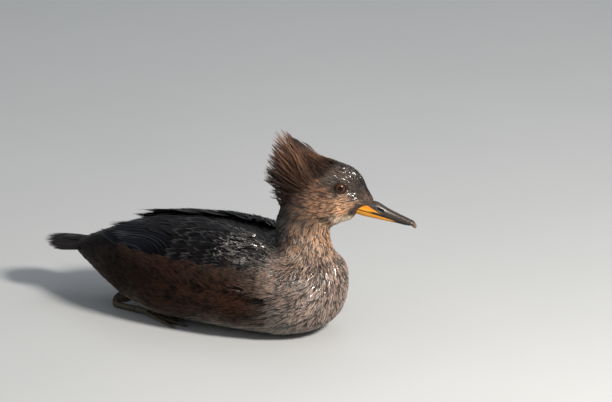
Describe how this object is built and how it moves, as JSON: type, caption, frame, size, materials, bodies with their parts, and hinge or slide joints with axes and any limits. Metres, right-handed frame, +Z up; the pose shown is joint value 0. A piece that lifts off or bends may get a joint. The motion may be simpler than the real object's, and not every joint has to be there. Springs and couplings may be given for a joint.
{
  "type": "hooded merganser",
  "caption": "Life-size female hooded merganser resting on her belly, feet tucked under, wings folded, the fan-shaped crest raised and the head turned a little to her left.",
  "frame": {"origin": "centre of the flat under the belly, at the level of the floor", "axes": "+X towards the breast, +Y to the bird's left, +Z up"},
  "size_m": [0.3265, 0.116, 0.1664],
  "materials": {
    "body_feathers": "wet dark brown body feathers",
    "neck_feathers": "wet grey-brown feathers with fine pale streaks",
    "head_feathers": "buff-brown feathers streaked dark, wet on the forehead",
    "crest_feathers": "loose rufous-brown crest feathers with dark tips",
    "tail_feathers": "blackish brown stiff feathers",
    "wing_feathers": "blackish brown feathers with a bluish wet sheen",
    "bill_horn": "horn, dark above and orange-yellow along the edges and below",
    "eye": "clear wet eye, red-brown round a black pupil",
    "leg_skin": "dull yellowish brown scaled skin",
    "foot_skin": "dull yellowish brown scaled skin with darker webs"
  },
  "bodies": {
    "root": {"torso": "body_feathers", "neck": "neck_feathers", "head": "head_feathers", "crest": "crest_feathers", "tail": "tail_feathers", "wing_l": "wing_feathers", "wing_r": "wing_feathers", "bill_upper": "bill_horn", "bill_lower": "bill_horn", "eye_l": "eye", "eye_r": "eye", "leg_l": "leg_skin", "leg_r": "leg_skin", "foot_l": "foot_skin", "foot_r": "foot_skin"}
  },
  "joints": []
}
